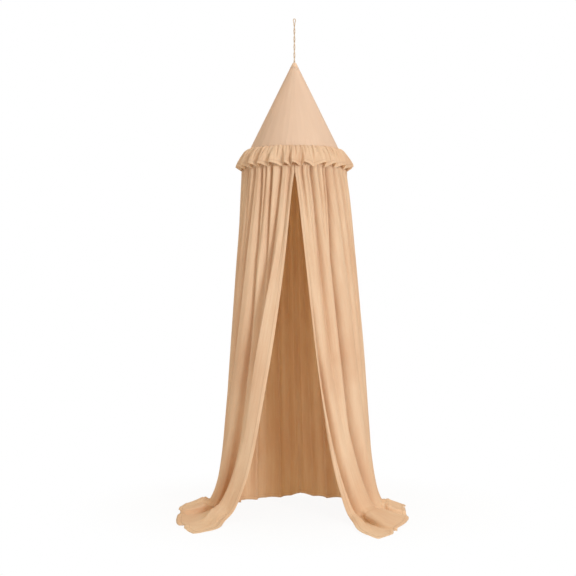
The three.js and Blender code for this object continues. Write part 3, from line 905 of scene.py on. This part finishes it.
front_curtain(
    "left_curtain_cloth", "left_front_curtain", side=-1,
    landing=left_landing, hem_line=left_hem, powers=(0.85, 1.26, 14), opening=0.6, bow=0.065,
    valleys=left_valleys, lean=0.3, lip=((0.88,) * 6, 0.038, 0.1, 0.5),
    lobes=[(0.02, 0.3, 0.725, 0.05, 0.026), (0.72, 0.79, 0.96, 0.014, 0)],
    notches=[(0.915, 0.010, 0.022, 0.010), (0.715, 0.012, 0.012, 0.002)],
    flat=(0.66, 2.07), seed=11,
)
front_curtain(
    "right_curtain_cloth", "right_front_curtain", side=1,
    landing=right_landing, hem_line=right_hem, powers=(0.62, 1, 9), opening=0.25, bow=0.04,
    valleys=right_valleys, lean=-0.1, lip=((0.99, 0.99, 0.985, 0.968, 0.93, 0.90), 0.034, 0.5, 0.8),
    lobes=[(0.02, 0.3, 0.56, 0.042, 0.02), (0.56, 0.7, 0.875, 0.034, 0.026)],
    notches=[(0.885, 0.010, 0.022, 0.010), (0.44, 0.012, 0.014, 0.004)],
    flat=(0.66, 2.14), seed=23,
)


# Drape, back panels: two lengths of the same cotton, joined at the centre back. They end just above
# the floor.
back_reach = 0.265
back_hem_height = 0.003
back_seam_drift = 0.035
back_seam_depth = 0.005
back_notch_height = 0.018
back_notch_width = 0.09
back_ridge_heights = (0.0125, 0.022)
back_valley_depths = (0.024, 0.044)

# Valleys between the folds, given as for the front curtains, but only to the end of the fall
left_back_valleys = [
    ((0.09, 0.09, 0.10, 0.10, 0.10), (0.016, 0.040), (1.1, 0.9, 0.8, 0.7, 0.6)),
    ((0.20, 0.21, 0.22, 0.22, 0.22), (0.017, 0.045), (1.3, 1.1, 1.1, 1.2, 1.2)),
    ((0.33, 0.34, 0.35, 0.36, 0.36), (0.015, 0.045), (1.2, 0.8, 0.6, 0.5, 0.5)),
    ((0.45, 0.47, 0.49, 0.50, 0.50), (0.017, 0.050), (1.3, 1.2, 1.2, 1.3, 1.3)),
    ((0.58, 0.60, 0.61, 0.62, 0.62), (0.014, 0.045), (1.0, 0.6, 0.4, 0.3, 0.3)),
    ((0.71, 0.73, 0.75, 0.76, 0.76), (0.017, 0.045), (1.3, 1.1, 1.1, 1.2, 1.2)),
    ((0.86, 0.88, 0.89, 0.90, 0.90), (0.014, 0.040), (1.1, 0.7, 0.5, 0.4, 0.4)),
]
right_back_valleys = [
    ((0.08, 0.09, 0.11, 0.12, 0.12), (0.016, 0.045), (1.1, 0.9, 0.8, 0.8, 0.8)),
    ((0.22, 0.24, 0.26, 0.28, 0.28), (0.017, 0.050), (1.3, 1.2, 1.2, 1.3, 1.3)),
    ((0.36, 0.38, 0.40, 0.42, 0.42), (0.015, 0.040), (1.2, 0.7, 0.5, 0.3, 0.3)),
    ((0.47, 0.50, 0.53, 0.56, 0.56), (0.017, 0.050), (1.3, 1.1, 1.1, 1.2, 1.2)),
    ((0.62, 0.65, 0.68, 0.70, 0.70), (0.016, 0.045), (1.2, 1.0, 0.9, 0.8, 0.8)),
    ((0.76, 0.79, 0.81, 0.83, 0.83), (0.015, 0.040), (1.1, 0.8, 0.7, 0.6, 0.5)),
    ((0.89, 0.91, 0.92, 0.93, 0.93), (0.013, 0.030), (1.0, 0.5, 0.3, 0.2, 0.2)),
]


def back_panel(name, node, side, side_reach, valleys, flat, seed):
    """One panel, counted across from the centre-back seam to its side seam."""

    def surface(across, down):
        height = lerp(drape_top_height, back_hem_height, down)
        share = min(1, height / drape_turn_height)
        angle = math.pi / 2 * across
        x = side * math.sin(angle) * lerp(side_reach, drape_top_radius, share)
        x += back_seam_drift * (1 - share) ** 1.3 * math.cos(angle) ** 2
        y = math.cos(angle) * lerp(back_reach, drape_top_radius, share)
        notch = back_notch_height * math.exp(-across / back_notch_width) * smooth(down, 0.9, 1)
        return Vector((x, y, floor_z + height + notch))

    def folds(across, down):
        fall = smooth(down, 0, 1) * 0.3 + down * 0.7
        height = lerp(*back_ridge_heights, smooth(fall, 0, 0.7))
        depth = lerp(*back_valley_depths, smooth(fall, 0, 0.6))
        move = height - depth * valley_cut(valleys, across, min(fall, 0.9999))
        move += slack(across, fall, seed) + gathers(across, fall, seed)
        move += crease_height * ripple(across * 16, 5 * fall, seed + 7)
        move *= smooth(min(across, 1 - across), 0, seam_share)
        return (move - back_seam_depth * dent(across, 0.02, 0.012)) * smooth(down, 0, 0.01)

    def from_hem(across, down):
        return (1 - down) * (drape_top_height - back_hem_height)

    piece = laid_cloth(name, 150, 170, flat, surface, folds, peach_cotton, from_hem, mirrored=side > 0)
    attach(piece, "canopy")
    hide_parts(node)


back_panel("left_back_cloth", "left_back_panel", -1, 0.335, left_back_valleys, (0.62, 1.76), 31)
back_panel("right_back_cloth", "right_back_panel", 1, 0.375, right_back_valleys, (0.64, 1.76), 47)


# Ruffle: a hemmed frill of the same cotton, gathered into the crown seam in two halves. It puffs out
# over the hoop and ends in soft scallops.
# Radius and height above the floor, from the crown seam to the hem
crest_rows = line_through(
    (0.2310, 1.8275), (0.2450, 1.8225), (0.2600, 1.8110), (0.2760, 1.7935), (0.2910, 1.7750),
    (0.3025, 1.7590), (0.3080, 1.7440),
)
valley_rows = line_through(
    (0.2310, 1.8275), (0.2440, 1.8190), (0.2560, 1.8050), (0.2640, 1.7880), (0.2670, 1.7660),
    (0.2680, 1.7410), (0.2685, 1.7175),
)

# Crests of the flutes in degrees from the middle of each half, and the share of a flute at which its
# valley lies, when the slow side or the quick side comes first
front_crests = [-98, -78, -64, -50.3, -37, -26, -10, -3.3, 10, 30, 43, 60, 84, 101]
back_crests = [-99, -85, -70, -58, -43, -33, -19, -6, 5, 21, 33, 47, 60, 76, 88, 101]
slow_side = 0.84
quick_side = 0.16

half_span = 89.96
hem_curl = 3
pleat_pitch = 5.2
pleat_height = 0.0105
ruffle_sag = 0.0022


def ruffle_half(name, node, crests, turnover, facing, seed):
    """Angles are in degrees from the middle of the half, growing to the right seen from outside. The
    flutes fall away slowly to the right of their crests before the turnover, and to the left after it.
    Fine pleats fill them near the seam."""
    middle = facing * math.pi / 2
    flat = (1.30, 0.125)

    def flute(angle):
        """How far out a flute stands at an angle, from 0 in a valley to 1 on a crest."""
        index = max(i for i, crest in enumerate(crests[:-1]) if crest <= angle)
        start, end = crests[index], crests[index + 1]
        phase = (angle - start) / (end - start)
        valley = slow_side if angle < turnover else quick_side
        if start < turnover <= end:
            valley = 0.5
        stand = 1 - phase / valley if phase < valley else (phase - valley) / (1 - valley)
        return smooth(stand, -0.25, 1.05) * min(1, 0.55 + (end - start) / 26)

    def surface(across, down):
        angle = lerp(-half_span, half_span, across)
        at_seam = smooth(min(across, 1 - across), 0, 0.02)
        curl = hem_curl * smooth(down, 0.3, 1) * ripple(angle / 14, 2 * down, seed + 2) * at_seam
        stand = flute(angle) * (0.9 + 0.2 * ripple(angle / 9, seed, 1))
        place = curve_point(valley_rows, down).lerp(curve_point(crest_rows, down), stand)
        return on_circle(place.x, middle + math.radians(angle + curl), floor_z + place.y)

    def folds(across, down):
        angle = lerp(-90, 90, across)
        at_seam = smooth(min(across, 1 - across), 0, 0.02)
        wander = 2 * ripple(angle / 11, 0.8 * down, seed + 5)
        pleat = abs(math.sin(math.pi * angle / pleat_pitch + wander))
        gather = (1 - (1 - pleat) ** 2.5) * (0.8 + 0.6 * ripple(angle / 4, down, seed + 9)) - 0.4
        gather *= 1 - smooth(down, 0.3, 1)
        sag = ruffle_sag * ripple(angle * 0.2, 4 * down, seed)
        return at_seam * smooth(down, 0, 0.06) * (pleat_height * gather + sag)

    def from_hem(across, down):
        return (1 - down) * flat[1]

    piece = laid_cloth(name, 480, 34, flat, surface, folds, peach_cotton, from_hem)
    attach(piece, "canopy")
    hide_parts(node)


ruffle_half("ruffle_front_cloth", "ruffle_front", front_crests, 22, -1, 61)
ruffle_half("ruffle_back_cloth", "ruffle_back", back_crests, 0, 1, 73)
